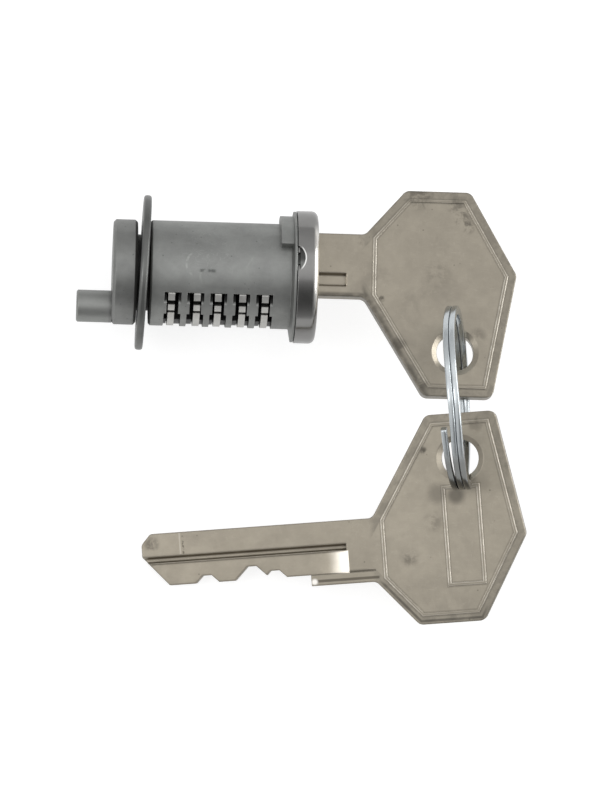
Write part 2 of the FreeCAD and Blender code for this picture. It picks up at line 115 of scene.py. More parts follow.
def node(tree, kind, sockets=None, **settings):
    """Adds one node, sets its properties, and gives each named socket a value or a link."""
    made = tree.nodes.new(kind)
    for name, value in settings.items():
        setattr(made, name, value)
    for name, value in (sockets or {}).items():
        if isinstance(value, bpy.types.NodeSocket):
            tree.links.new(value, made.inputs[name])
        else:
            made.inputs[name].default_value = value
    return made


def math_node(tree, operation, *values, clamp=False):
    made = node(tree, "ShaderNodeMath", dict(enumerate(values)), operation=operation)
    made.use_clamp = clamp
    return made.outputs[0]


def product(tree, first, *others):
    for other in others:
        first = math_node(tree, "MULTIPLY", first, other)
    return first


def off_by(tree, value, middle):
    """Distance of a value from a middle one."""
    return math_node(tree, "ABSOLUTE", math_node(tree, "SUBTRACT", value, middle))


def ranged(tree, value, low, high, to_low=0.0, to_high=1.0):
    """Smooth step of a value from one range to another."""
    made = node(tree, "ShaderNodeMapRange", {"Value": value, "From Min": low, "From Max": high,
                                             "To Min": to_low, "To Max": to_high},
                interpolation_type="SMOOTHSTEP")
    return made.outputs["Result"]


def between(tree, value, low, high, soft):
    """Mask that is 1 from low to high and falls to 0 over a soft edge outside them."""
    return product(tree, ranged(tree, value, low - soft, low), ranged(tree, value, high + soft, high))


def blended(tree, share, first, second):
    """Colour mix by a mask."""
    made = node(tree, "ShaderNodeMix", data_type="RGBA")
    for index, value in ((0, share), (6, first), (7, second)):
        if isinstance(value, bpy.types.NodeSocket):
            tree.links.new(value, made.inputs[index])
        elif index == 0:
            made.inputs[0].default_value = value
        else:
            made.inputs[index].default_value = (*value, 1.0)
    return made.outputs[2]


def painted(tree, tint, color, *masks):
    """A tint with one of TINTS over it, as strong as the product of the masks and strengths."""
    return blended(tree, product(tree, *masks), tint, TINTS[color])


def split_up(tree, vector):
    made = node(tree, "ShaderNodeSeparateXYZ", {0: vector}).outputs
    return made["X"], made["Y"], made["Z"]


def stretched(tree, where, scale, turn=(0.0, 0.0, 0.0)):
    made = node(tree, "ShaderNodeMapping", {"Vector": where, "Scale": scale, "Rotation": turn})
    return made.outputs["Vector"]


def distance(tree, where, point):
    made = node(tree, "ShaderNodeVectorMath", {0: where, 1: point}, operation="DISTANCE")
    return made.outputs["Value"]


def distance_seen_along_z(tree, where, point):
    return distance(tree, stretched(tree, where, (1, 1, 0)), (*point, 0))


def near(tree, where, point, reach):
    """Mask that is 1 at a point and falls to 0 at a distance, in millimetres."""
    return ranged(tree, distance(tree, where, point), reach, reach * 0.3)


def noise(tree, where, scale, detail=3.0, roughness=0.5, distortion=0.0):
    made = node(tree, "ShaderNodeTexNoise", {"Vector": where, "Scale": scale, "Detail": detail,
                                             "Roughness": roughness, "Distortion": distortion})
    return made.outputs["Fac"]


def spots(tree, where, scale, outer, inner):
    """Round spots, one in each cell of a scattered pattern, 0 outside and 1 inside."""
    made = node(tree, "ShaderNodeTexVoronoi", {"Vector": where, "Scale": scale})
    return ranged(tree, made.outputs["Distance"], outer, inner)


# Node groups

FLOAT, VECTOR = "NodeSocketFloat", "NodeSocketVector"


def group(name, inputs, outputs):
    """Empty node group: its tree, the values that it is given, and those that it puts out."""
    tree = bpy.data.node_groups.new(name, "ShaderNodeTree")
    for label, kind, default in inputs:
        made = tree.interface.new_socket(label, in_out="INPUT", socket_type=kind)
        made.default_value = default
    for label, kind in outputs:
        tree.interface.new_socket(label, in_out="OUTPUT", socket_type=kind)
    return tree, tree.nodes.new("NodeGroupInput").outputs, tree.nodes.new("NodeGroupOutput").inputs


def grouped(tree, which, **sockets):
    """Adds a node group to a tree and gives its inputs values or links."""
    made = tree.nodes.new("ShaderNodeGroup")
    made.node_tree = which
    for name, value in sockets.items():
        if isinstance(value, bpy.types.NodeSocket):
            tree.links.new(value, made.inputs[name.capitalize()])
        else:
            made.inputs[name.capitalize()].default_value = value
    return made.outputs


def grain_group():
    """Fine skin of a metal: two noises added as a height, and a slow blotch as a mask."""
    tree, given, out = group("metal_grain", [("Place", VECTOR, (0, 0, 0)), ("Fineness", FLOAT, 6.0)],
                             [("Height", FLOAT), ("Blotch", FLOAT)])
    place, fineness = given["Place"], given["Fineness"]
    fine = noise(tree, place, fineness, 4.0, 0.6)
    coarse = noise(tree, place, product(tree, fineness, 0.22), 2.0)
    slow = noise(tree, place, product(tree, fineness, 0.05), 3.0, 0.55)
    height = math_node(tree, "ADD", product(tree, fine, 0.6), product(tree, coarse, 0.4))
    tree.links.new(height, out["Height"])
    tree.links.new(ranged(tree, slow, 0.32, 0.68), out["Blotch"])
    return tree


def scratch_group():
    """Hairlines: where a stretched noise crosses its middle value, broken up by a second noise."""
    tree, given, out = group("scratches", [("Place", VECTOR, (0, 0, 0)), ("Scale", FLOAT, 0.6)],
                             [("Mask", FLOAT)])
    width = 0.012
    most = 0.0
    for turn, stretch in (((0, 0, 0.5), (1, 6, 1)), ((0.3, 0, -0.9), (5, 1, 1)), ((0, 0.4, 1.9), (1, 4, 2))):
        run = noise(tree, stretched(tree, given["Place"], stretch, turn), given["Scale"], 1.0, 0.4, 0.3)
        away = math_node(tree, "DIVIDE", off_by(tree, run, 0.5), width)
        line = math_node(tree, "SUBTRACT", 1.0, away, clamp=True)
        most = math_node(tree, "MAXIMUM", most, line)
    broken = noise(tree, given["Place"], 0.9, 3.0, 0.6)
    kept = node(tree, "ShaderNodeMapRange", {"Value": broken, "From Min": 0.35, "From Max": 0.8})
    tree.links.new(math_node(tree, "MULTIPLY", most, kept.outputs["Result"], clamp=True), out["Mask"])
    return tree


def edge_group():
    """Worn edges: how far the normal turns when the edge is rounded, away from inside corners, with soiling
    and painted shade in the inside corners, from ambient occlusion, as a second mask, and the rounded normal
    itself."""
    tree, given, out = group("edge_wear_and_hollow_shade", [("Place", VECTOR, (0, 0, 0)), ("Radius", FLOAT, 0.0002)],
                             [("Wear", FLOAT), ("DirtAndShade", FLOAT), ("Normal", VECTOR)])
    crevice = 0.8 * MM
    rounded = node(tree, "ShaderNodeBevel", {"Radius": given["Radius"]}, samples=6).outputs["Normal"]
    flat = node(tree, "ShaderNodeNewGeometry").outputs["Normal"]
    same = node(tree, "ShaderNodeVectorMath", {0: rounded, 1: flat}, operation="DOT_PRODUCT")
    turned = ranged(tree, math_node(tree, "SUBTRACT", 1.0, same.outputs["Value"]), 0.01, 0.16)
    open_share = node(tree, "ShaderNodeAmbientOcclusion", {"Distance": crevice},
                      samples=6, only_local=True).outputs["AO"]
    broken = ranged(tree, noise(tree, given["Place"], 1.7, 4.0, 0.65), 0.3, 0.62, 0.15, 1.0)
    wear = product(tree, turned, ranged(tree, open_share, 0.55, 0.9), broken)
    tree.links.new(wear, out["Wear"])
    tree.links.new(ranged(tree, open_share, 0.75, 0.25), out["DirtAndShade"])
    tree.links.new(rounded, out["Normal"])
    return tree


def side_depth(tree, place, start, end):
    """Distance inward from one side of the bow: the dot product of the side's inward normal with
    the way from its start to the place."""
    length = math.dist(start, end)
    inward = ((start[1] - end[1]) / length, (end[0] - start[0]) / length, 0)
    made = node(tree, "ShaderNodeVectorMath", {0: place, 1: inward}, operation="DOT_PRODUCT")
    return math_node(tree, "SUBTRACT", made.outputs["Value"], inward[0] * start[0] + inward[1] * start[1])


def bow_zone_group():
    """Depth inside the bow: the least distance from a place to the outline's sides."""
    tree, given, out = group("bow_zone", [("Place", VECTOR, (0, 0, 0))], [("Depth", FLOAT)])
    least = side_depth(tree, given["Place"], BOW[0], BOW[1])
    for start, end in zip(BOW[1:], BOW[2:]):
        least = math_node(tree, "MINIMUM", least, side_depth(tree, given["Place"], start, end))
    tree.links.new(least, out["Depth"])
    return tree


metal_grain, scratches, edge_wear_and_hollow_shade, bow_zone = grain_group(), scratch_group(), edge_group(), bow_zone_group()


# Metals

def metal(name, color, *, roughness, fineness, blotch, bump, wear, dirt_and_shade, scratch, scratch_scale,
          edge=0.0, grime_and_shade=0.25, drawn=None, extra=None, soft_edge=None):
    """One metal finish. Colour is darkened by blotches and by soiling and painted shade in hollows, and
    lightened at worn edges and scratches. drawn = (stretch, strength) adds lines left by rolling, drawing or
    turning, extra adds a piece's own marks, and soft_edge gives a radius of its edges that changes over it,
    in place of edge. Both radii are in millimetres."""
    made = bpy.data.materials.new(name)
    made.use_nodes = True
    tree = made.node_tree
    shader = tree.nodes["Principled BSDF"]
    where = stretched(tree, node(tree, "ShaderNodeTexCoord").outputs["Object"], (1 / MM, 1 / MM, 1 / MM))
    grain = grouped(tree, metal_grain, place=where, fineness=fineness)
    radius = product(tree, soft_edge(tree, where), MM) if soft_edge else edge * MM
    edges = grouped(tree, edge_wear_and_hollow_shade, place=where, radius=radius)
    lines = grouped(tree, scratches, place=where, scale=scratch_scale)["Mask"]
    dark = tuple(c * (1 - blotch) for c in color)
    light = tuple(min(1.0, c * (1 + blotch)) for c in color)
    worn = tuple(min(0.95, c * 1.35 + 0.04) for c in color)
    tint = blended(tree, grain["Blotch"], dark, light)
    tint = blended(tree, product(tree, lines, scratch), tint, worn)
    height = grain["Height"]
    if drawn:
        stretch, strength = drawn
        run = noise(tree, stretched(tree, where, stretch), 1.0, 3.0, 0.6)
        height = math_node(tree, "ADD", height, product(tree, run, strength))
        tint = blended(tree, product(tree, ranged(tree, run, 0.55, 0.75), 0.35), tint, dark)
    if extra:
        tint, height = extra(tree, where, tint, height)
    # Soiling and painted shade in hollows darken the colour.
    tint = blended(tree, product(tree, edges["DirtAndShade"], dirt_and_shade), tint, tuple(c * grime_and_shade for c in color))
    tint = blended(tree, product(tree, edges["Wear"], wear), tint, worn)
    height = math_node(tree, "SUBTRACT", height, product(tree, lines, 0.5 * scratch))
    rough = ranged(tree, grain["Height"], 0.3, 0.7, roughness * 0.85, roughness * 1.15)
    rough = math_node(tree, "ADD", rough, product(tree, edges["DirtAndShade"], 0.2))
    bumped = node(tree, "ShaderNodeBump", {"Height": height, "Normal": edges["Normal"],
                                           "Strength": bump, "Distance": 0.02 * MM})
    tree.links.new(tint, shader.inputs["Base Color"])
    tree.links.new(rough, shader.inputs["Roughness"])
    tree.links.new(bumped.outputs["Normal"], shader.inputs["Normal"])
    shader.inputs["Metallic"].default_value = 1.0
    return made


# Marks of the lock's pieces

def from_axis(tree, where):
    """Distance from the lock's axis."""
    _, y, z = split_up(tree, where)
    return math_node(tree, "SQRT", math_node(tree, "ADD", product(tree, y, y), product(tree, z, z)))


def curved_mark(tree, where, middle, size):
    """Thin arc on the side that faces +Z: the points whose distance from a middle point, seen along
    Z, is near the arc's radius, on the middle point's -X side only."""
    width = 0.22
    away = off_by(tree, distance_seen_along_z(tree, where, middle), size)
    x, _, z = split_up(tree, where)
    return product(tree, ranged(tree, away, width, width * 0.3), ranged(tree, z, 3.0, 4.0),
                   ranged(tree, x, middle[0] - size * 0.45, middle[0] - size * 0.7))


def casting_marks(tree, where, tint, height):
    """Soft darker clouds, pale rub marks and a dark scrape on the barrel, casting pits, near black for old
    greasy film and painted shade in the slots, the keyway and the neck, the paler pin, and painted shade on
    the head behind the cap's notch."""
    x, y, _ = split_up(tree, where)
    clouds = ranged(tree, noise(tree, stretched(tree, where, (0.16, 0.3, 0.3)), 1.0, 4.0, 0.6), 0.45, 0.70)
    tint = painted(tree, tint, "cast cloud", clouds, 0.22)
    patchy = ranged(tree, noise(tree, where, 1.1, 3.0, 0.6), 0.38, 0.62)
    for middle, size, strength in RUBS:
        tint = painted(tree, tint, "cast rub", curved_mark(tree, where, middle, size), patchy, strength)
    line = near(tree, stretched(tree, where, (0.02, 1, 1)), (-0.24, -0.9, BARREL_RADIUS), 0.35)
    tint = painted(tree, tint, "cast scrape", between(tree, x, *SCRAPE, 0.4), line, patchy, 0.8)
    curls = noise(tree, stretched(tree, where, (0.5, 0.8, 0.6), (0, 0, 0.6)), 1.0, 2.0, 0.5, 1.2)
    away = math_node(tree, "DIVIDE", off_by(tree, curls, 0.52), 0.02)
    curl = math_node(tree, "SUBTRACT", 1.0, away, clamp=True)
    tint = painted(tree, tint, "cast curl", curl, near(tree, where, (-12.0, 2.0, 7.0), 5.5), 0.22)
    pit = spots(tree, where, 0.75, 0.10, 0.05)
    tint = painted(tree, tint, "pit", pit, 0.5)
    # Near black inside the barrel's skin: greasy film and painted shade in the slots, keyway and neck.
    inside = ranged(tree, from_axis(tree, where), BARREL_RADIUS - 0.10, BARREL_RADIUS - 0.40)
    tint = painted(tree, tint, "slot greasy film and shade", inside, between(tree, x, *GREASY_AND_SHADED, 0.1), 0.93)
    tint = painted(tree, tint, "pin", ranged(tree, x, PIN_START + 0.2, PIN_START - 0.2), 0.9)
    # Painted shade on the plug's head behind the cap, where it shows through the notch.
    tint = painted(tree, tint, "hidden head shade", ranged(tree, x, -0.1, 0.05),
                   ranged(tree, y, 0.2, 1.0, 0.4, 1.0), 0.75)
    return tint, math_node(tree, "SUBTRACT", height, product(tree, pit, 1.5))


def cap_marks(tree, where, tint, height):
    """Painted highlights on the cap's bright front rim and on the cut edge of the notch in the rear rim."""
    x, y, z = split_up(tree, where)
    # Painted highlight on the front rim, on the side that faces the camera.
    tint = painted(tree, tint, "cap rim highlight", ranged(tree, x, CAP_FRONT - 0.80, CAP_FRONT - 0.40),
                   ranged(tree, y, -6.5, -2.5), ranged(tree, y, 6.4, 4.2), 0.9)
    # Painted highlight on the notch's cut edge.
    gap = distance_seen_along_z(tree, where, NOTCH)
    arc = between(tree, gap, NOTCH_RADIUS - 0.1, NOTCH_RADIUS + 0.14, 0.08)
    tint = painted(tree, tint, "notch edge highlight", arc, ranged(tree, z, 4.0, 5.0), ranged(tree, x, 0.3, 0.7), 0.9)
    return tint, height


def wafer_marks(tree, where, tint, height):
    """Near black below the wafer's outer end, which is rubbed bright: greasy film and painted shade."""
    inside = ranged(tree, from_axis(tree, where), BARREL_RADIUS - 0.25, BARREL_RADIUS - 0.60)
    return painted(tree, tint, "wafer greasy film and shade", inside, 0.85), height


def ring_marks(tree, where, tint, height):
    """Painted dark reflection low on the ring, where the spare key hangs."""
    y = split_up(tree, where)[1]
    return painted(tree, tint, "ring dark reflection", ranged(tree, y, -25.5, -28.0), 0.75), height


# Marks of the keys

def on_key(tree, where, base, turn):
    """A key's own coordinates: along it from the shoulder, across from its plain edge, and through."""
    made = node(tree, "ShaderNodeMapping", {"Vector": where, "Location": base, "Rotation": turn},
                vector_type="TEXTURE")
    return made.outputs["Vector"]


def line_marks(tree, tint, off, crossways, broken, outer=1.0, inner=1.0):
    """Painted highlights on a raised line's two edges, most of all where it runs across the key, painted
    shade on its top, and soiling and painted shade along its feet. off is the distance inward from the line's
    middle, broken a patchy mask, and outer and inner are how bright each edge's painted highlight is."""
    away = math_node(tree, "ABSOLUTE", off)
    sheen = product(tree, math_node(tree, "ADD", product(tree, crossways, 0.50), 0.25), broken,
                    ranged(tree, off, -0.05, 0.05, outer, inner))
    # Painted highlights on the edges, painted shade on the top, and soiling with painted shade at the feet.
    tint = painted(tree, tint, "line edge highlight", between(tree, away, 0.13, 0.22, 0.06), sheen)
    tint = painted(tree, tint, "line top shade", ranged(tree, away, 0.10, 0.03), 0.4)
    return painted(tree, tint, "line foot shade and soiling", between(tree, away, 0.29, 0.36, 0.08), 0.32)


def bow_line(tree, tint, x, y, depth, broken, diagonal, both_ends):
    """The raised line round the bow. Both its edges' painted highlights are bright on the shank's side, and
    with both_ends on the far side too. diagonal is how bright the outer edge's painted highlight is on the
    other sides."""
    inner = math_node(tree, "MINIMUM", depth, math_node(tree, "SUBTRACT", x, BOW_START))
    lit = ranged(tree, x, BOW_START + 2.0, BOW_START + 1.7)
    if both_ends:
        far_side = product(tree, ranged(tree, x, 23.5, 25.5), ranged(tree, y, 4.2, 3.2))
        lit = math_node(tree, "MAXIMUM", lit, far_side)
    crossways = between(tree, y, BOW_PLAIN_END + RAISED_LINE_MARGIN, BOW_CUT_END - RAISED_LINE_MARGIN, 0.3)
    return line_marks(tree, tint, math_node(tree, "SUBTRACT", inner, RAISED_LINE_DEPTH), crossways, broken,
                      ranged(tree, lit, 0.0, 1.0, diagonal, 1.0), ranged(tree, lit, 0.0, 1.0, 0.3, 1.0))


def panel_line(tree, tint, x, y, broken):
    """The raised frame of the number panel, a rectangle of lines with their painted highlights and shade."""
    sides = [math_node(tree, "SUBTRACT", off_by(tree, value, middle), half)
             for value, middle, half in zip((x, y), PANEL_MIDDLE, PANEL_HALF)]
    reach = PANEL_HALF[1] - PANEL_MARGIN
    crossways = between(tree, y, PANEL_MIDDLE[1] - reach, PANEL_MIDDLE[1] + reach, 0.2)
    return line_marks(tree, tint, math_node(tree, "MAXIMUM", *sides), crossways, broken)


def key_finish(name, color, base, turn, face, smudges, marks, diagonal, panel):
    """Warm nickel of a key: mottled, greyer outside the raised line, soft at its outer edges, with painted
    highlights and shade on its raised lines, and with smudges = (along, across, reach, strength) on the face
    that shows, which lies at face through the key. panel says that it is the face with the number panel."""
    def place_and_depth(tree, where):
        place = on_key(tree, where, base, turn)
        return place, grouped(tree, bow_zone, place=place)["Depth"]

    def soft_edge(tree, where):
        return ranged(tree, place_and_depth(tree, where)[1], 0.9, 0.3, 0.12, 0.34)

    def extra(tree, where, tint, height):
        place, depth = place_and_depth(tree, where)
        x, y, _ = split_up(tree, place)
        mottle = ranged(tree, noise(tree, where, 0.85, 4.0, 0.6), 0.40, 0.62)
        tint = painted(tree, tint, "key mottle", mottle, 0.12)
        patches = ranged(tree, noise(tree, where, 0.16, 5.0, 0.62, 0.4), 0.52, 0.72)
        tint = painted(tree, tint, "key patch", patches, 0.30)
        cloud = ranged(tree, noise(tree, where, 0.55, 5.0, 0.68, 0.3), 0.40, 0.60)
        border = product(tree, ranged(tree, depth, 1.22, 1.06), ranged(tree, x, 8.2, 9.2))
        tint = painted(tree, tint, "bow border", border, 0.30)
        tint = painted(tree, tint, "border cloud", border, cloud, 0.30)
        broken = ranged(tree, noise(tree, where, 0.7, 3.0, 0.6), 0.36, 0.60, 0.45, 1.0)
        tint = bow_line(tree, tint, x, y, depth, broken, diagonal, not panel)
        if panel:
            tint = panel_line(tree, tint, x, y, broken)
        for along, across, reach, strength in smudges:
            smudge = near(tree, place, (along, across, face), reach)
            tint = painted(tree, tint, "smudge", smudge, cloud, strength)
        tint = painted(tree, tint, "speck", spots(tree, where, 0.45, 0.07, 0.03), 0.5)
        return marks(tree, place, tint), height

    return metal(name, color, roughness=0.34, fineness=5.0, blotch=0.05, bump=0.16, wear=0.45, dirt_and_shade=0.7,
                 scratch=0.35, scratch_scale=0.35, grime_and_shade=0.16, extra=extra, soft_edge=soft_edge)


def spare_key_marks(tree, place, tint):
    """Painted shade as a dark line inside the bow's lower edge, the ring's painted shade at its foot, a
    darker shank, a pale line pressed across the blade with dark dots beside it, a painted highlight where the
    milled step runs out, the dark seam along the shoulder's tab, and a painted glint at the tab's corner."""
    x, y, _ = split_up(tree, place)
    depth = grouped(tree, bow_zone, place=place)["Depth"]
    patchy = ranged(tree, noise(tree, place, 0.5, 4.0, 0.65), 0.30, 0.60, 0.6, 1.0)
    # Painted shade along the bow's lower edge.
    tint = painted(tree, tint, "lower edge shade", between(tree, depth, 0.40, 0.56, 0.16),
                   ranged(tree, y, 8.2, 9.4), ranged(tree, x, 24.2, 22.8), patchy, 0.75)
    shade = math_node(tree, "MAXIMUM",
                      product(tree, near(tree, place, (18.1, -2.7, -HALF_KEY), 2.0), 0.5),
                      product(tree, near(tree, place, (20.6, -2.3, -HALF_KEY), 1.7), 0.75))
    tint = painted(tree, tint, "ring shade", shade)
    tint = painted(tree, tint, "shank", ranged(tree, x, 10.0, 8.0), 0.18)
    reach = between(tree, y, *LINES_ACROSS, 0.2)
    dots = ranged(tree, noise(tree, place, 2.2, 2.0, 0.6), 0.45, 0.60)
    tint = painted(tree, tint, "pressed line", between(tree, x, *PRESSED_LINE, 0.1), reach, 0.5)
    tint = painted(tree, tint, "speck", between(tree, x, *DOTTED_LINE, 0.1), reach, dots, 0.75)
    # Painted highlight where the milled step runs out.
    tint = painted(tree, tint, "ramp highlight", ranged(tree, x, 2.2, 5.0), between(tree, x, *RAMP_ALONG, 0.05),
                   between(tree, y, *RAMP_ACROSS, 0.1), 0.9)
    tint = painted(tree, tint, "seam", between(tree, y, *SEAM_ACROSS, 0.12),
                   between(tree, x, *SEAM_ALONG, 0.3), 0.8)
    # Painted glint at the tab's corner.
    return painted(tree, tint, "corner glint", near(tree, place, (*CORNER_GLINT, -HALF_KEY), 0.6), 0.9)


def lock_key_marks(tree, place, tint):
    """Painted shade on the rounded edge along the lock key's plain side, on the shank and the first side of
    the bow.
    """
    x, y, z = split_up(tree, place)
    flank = side_depth(tree, place, BOW[0], BOW[1])
    first = product(tree, ranged(tree, flank, 0.95, 0.35), ranged(tree, x, 8.4, 9.0))
    shank = product(tree, ranged(tree, y, 0.75, 0.30), ranged(tree, x, 9.6, 8.6))
    patchy = ranged(tree, noise(tree, place, 0.5, 4.0, 0.65), 0.30, 0.60, 0.5, 1.0)
    # Painted shade on the lower rounded edge.
    return painted(tree, tint, "lower edge shade", math_node(tree, "MAXIMUM", first, shank),
                   ranged(tree, x, 0.8, 3.2), ranged(tree, z, 0.1, 0.9), patchy, 0.72)


# Finishes

def rotation(degrees, axis):
    return Matrix.Rotation(math.radians(degrees), 3, axis)


lock_key_base = (0.6, -2.68, 0.0)
lock_key_smudges = (
    (21.3, 13.1, 1.6, 0.6), (22.2, 11.4, 1.6, 0.7), (23.0, 10.2, 1.3, 0.7), (16.2, 14.3, 2.6, 0.6),
    (11.3, -0.2, 0.6, 0.9), (8.2, 7.9, 0.8, 0.5), (24.5, -5.0, 1.6, 0.4), (19.0, 3.5, 2.4, 0.3),
    (13.5, -6.5, 1.8, 0.6), (16.8, -11.8, 1.4, 0.6))

# The spare key lies turned over, and its place is given by the middle of its hole
spare_turn = rotation(10.0, "X") @ rotation(-8.3, "Y") @ rotation(5.9, "Z") @ rotation(180.0, "X")
hole_on_key, hole_in_room = Vector((21.5, -7.3, 0)), Vector((23.18, -24.32, -0.95))
spare_base = hole_in_room - spare_turn @ hole_on_key
spare_key_smudges = (
    (16.6, -8.7, 0.7, 0.9), (17.3, 1.1, 1.8, 0.35), (13.7, 5.7, 1.6, 0.5), (23.9, -11.9, 1.6, 0.4),
    (-21.6, 1.4, 1.4, 0.7), (12.5, -7.5, 1.6, 0.4), (26.5, 12.0, 2.0, 0.4))

finishes = {
    "cast": metal("cast_zinc_satin", (0.300, 0.306, 0.296), roughness=0.46, fineness=5.0, blotch=0.09,
                  bump=0.25, wear=0.50, dirt_and_shade=0.55, edge=0.14, scratch=0.25, scratch_scale=0.5,
                  extra=casting_marks),
    "disc": metal("disc_zinc_satin", (0.260, 0.264, 0.256), roughness=0.44, fineness=5.0, blotch=0.09,
                  bump=0.25, wear=0.45, dirt_and_shade=0.55, edge=0.14, scratch=0.25, scratch_scale=0.5,
                  extra=casting_marks),
    "cap": metal("cap_polished", (0.275, 0.272, 0.266), roughness=0.17, fineness=5.0, blotch=0.06,
                 bump=0.10, wear=0.9, dirt_and_shade=0.5, edge=0.15, scratch=0.2, scratch_scale=0.7,
                 drawn=((14.0, 0.35, 0.35), 0.5), extra=cap_marks),
    "washer": metal("washer_zinc_plate", (0.162, 0.165, 0.160), roughness=0.36, fineness=4.0, blotch=0.12,
                    bump=0.20, wear=0.55, dirt_and_shade=0.4, edge=0.14, scratch=0.35, scratch_scale=0.5),
    "wafer": metal("wafer_nickel_plate", (0.60, 0.595, 0.57), roughness=0.40, fineness=7.0, blotch=0.08,
                   bump=0.15, wear=0.5, dirt_and_shade=0.3, edge=0.06, scratch=0.2, scratch_scale=0.9,
                   drawn=((0.6, 9.0, 0.6), 0.5), extra=wafer_marks),
    "spring": metal("spring_drawn_wire", (0.42, 0.42, 0.43), roughness=0.28, fineness=8.0, blotch=0.06,
                    bump=0.1, wear=0.3, dirt_and_shade=0.5, edge=0.03, scratch=0.2, scratch_scale=0.9),
    "ring": metal("ring_zinc_bright", (0.60, 0.64, 0.66), roughness=0.20, fineness=6.0, blotch=0.08,
                  bump=0.12, wear=0.3, dirt_and_shade=0.55, edge=0.06, scratch=0.3, scratch_scale=0.6,
                  extra=ring_marks),
    "lock_key": key_finish("lock_key_nickel", (0.342, 0.309, 0.253), lock_key_base, (0.0, 0.0, 0.0),
                           HALF_KEY, lock_key_smudges, lock_key_marks, diagonal=0.55, panel=False),
    "spare_key": key_finish("spare_key_nickel", (0.370, 0.334, 0.272), spare_base, spare_turn.to_euler("XYZ"),
                            -HALF_KEY, spare_key_smudges, spare_key_marks, diagonal=1.0, panel=True),
}

finish_of = {"plug_body": "cast", "drive_disc": "disc", "front_cap": "cap",
             "retaining_washer": "washer", "key_in_lock": "lock_key", "spare_key": "spare_key",
             "split_ring": "ring"}
for number in WAFERS:
    finish_of["wafer_%d" % number] = "wafer"
    finish_of["wafer_spring_%d" % number] = "spring"
for name, finish in finish_of.items():
    for slot in nodes[name].material_slots:
        slot.material = finishes[finish]


# Pieces of the scene's own

def mesh_piece(name, points, faces, finish):
    """Smooth piece from points in metres and faces, with its finish."""
    mesh = bpy.data.meshes.new(name)
    mesh.from_pydata(points.tolist(), [], faces)
    mesh.update()
    mesh.shade_smooth()
    mesh.materials.append(finishes[finish])
    made = bpy.data.objects.new(name, mesh)
    scene.collection.objects.link(made)
    return made


def tube_faces(rows, sides):
    """Faces of a closed tube whose points lie in rows: a quad between each two neighbours of each
    two rows, and one face over each end."""
    row, column = np.meshgrid(np.arange(rows - 1), np.arange(sides), indexing="ij")
    first = row * sides + column
    after = row * sides + (column + 1) % sides
    faces = np.stack([first, after, after + sides, first + sides], -1).reshape(-1, 4).tolist()
    last = (rows - 1) * sides
    return faces + [list(range(sides))[::-1], [last + side for side in range(sides)]]


def coil_spring(name, low, high):
    """Compression spring that stands along Y: the wire's middle p is
    (c + R cos u, y(u), d + R sin u), and y climbs slowly in the two dead end turns. Its skin is
    p + r (cos v across + sin v up), with v from 0 to a full turn."""
    turns, wire, steps, sides = 11, 0.105 * MM, 26, 10
    middle = (low + high) / 2
    radius = (high.x - low.x) / 2 - wire
    u = np.linspace(0, 2 * np.pi * turns, turns * steps)
    dead = 1.0 / turns
    rise = np.interp(u / u[-1], [0, dead, 1 - dead, 1], [0, 0.05, 0.95, 1])
    y = low.y + wire + rise * (high.y - low.y - 2 * wire)
    path = np.stack([middle.x + radius * np.cos(u), y, middle.z + radius * np.sin(u)], 1)
    along = np.gradient(path, axis=0)
    along /= np.linalg.norm(along, axis=1)[:, None]
    across = np.stack([np.cos(u), np.zeros_like(u), np.sin(u)], 1)
    across -= (across * along).sum(1)[:, None] * along
    across /= np.linalg.norm(across, axis=1)[:, None]
    up = np.cross(along, across)
    v = np.linspace(0, 2 * np.pi, sides, endpoint=False)[None, :, None]
    points = path[:, None] + wire * (np.cos(v) * across[:, None] + np.sin(v) * up[:, None])
    return mesh_piece(name, points.reshape(-1, 3), tube_faces(len(path), sides), "spring")


for number in WAFERS:
    sleeve = "wafer_spring_%d" % number
    low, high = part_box(sleeve)
    coil = coil_spring("coil_%d" % number, low, high)
    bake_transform(coil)
    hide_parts(sleeve)


def split_ring_wire(name):
    """Flat wire wound on a circle. Its middle is (R cos t, R sin t, h), where the height h steps over
    by one pitch in the last 80 degrees of each turn and springs away towards the wire's first end.
    The section is a rectangle with quarter circles at its corners, carried square to the circle,
    and the whole is then turned to the ring's own lean and moved to its middle."""
    radius, pitch, half_radial, half_axial, corner = 11.87, 0.80, 0.60, 0.385, 0.2
    first_end, overlap, step, springing, springing_reach = 212.0, 75.0, 80.0, 0.45, 110.0
    lean, middle = (2.25, 10.1), (21.74, -17.62, 8.34)
    turned = np.arange(0.0, 2 * 360 + overlap + 1, 1.5)
    turns, rest = np.divmod(turned, 360)
    share = np.clip((rest - (360 - step)) / step, 0, 1)
    height = pitch * (turns + share ** 2 * (3 - 2 * share) - 0.5)
    height -= springing * np.clip(1 - turned / springing_reach, 0, 1) ** 2
    bend = np.radians(np.linspace(0, 90, 5))
    section = []
    for quarter, (sx, sy) in enumerate(((1, 1), (-1, 1), (-1, -1), (1, -1))):
        angle = bend + quarter * math.pi / 2
        section.append(np.stack([sx * (half_radial - corner) + corner * np.cos(angle),
                                 sy * (half_axial - corner) + corner * np.sin(angle)], 1))
    section = np.concatenate(section)
    t = np.radians(turned + first_end)[:, None]
    out = radius + section[None, :, 0]
    points = np.stack([out * np.cos(t), out * np.sin(t), height[:, None] + section[None, :, 1]], -1)
    axis = Vector((1, *(math.tan(math.radians(angle)) for angle in lean)))
    turn = np.array(Vector((0, 0, 1)).rotation_difference(axis).to_matrix())
    points = (points.reshape(-1, 3) @ turn.T + middle) * MM
    faces = [face[::-1] for face in tube_faces(len(turned), len(section))]
    made = mesh_piece(name, points, faces, "ring")
    for end in (-1, -2):
        made.data.polygons[len(faces) + end].use_smooth = False
    return made


ring_wire = split_ring_wire("split_ring_wire")
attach(ring_wire, "ring")
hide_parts("split_ring")


# Floor, light and camera

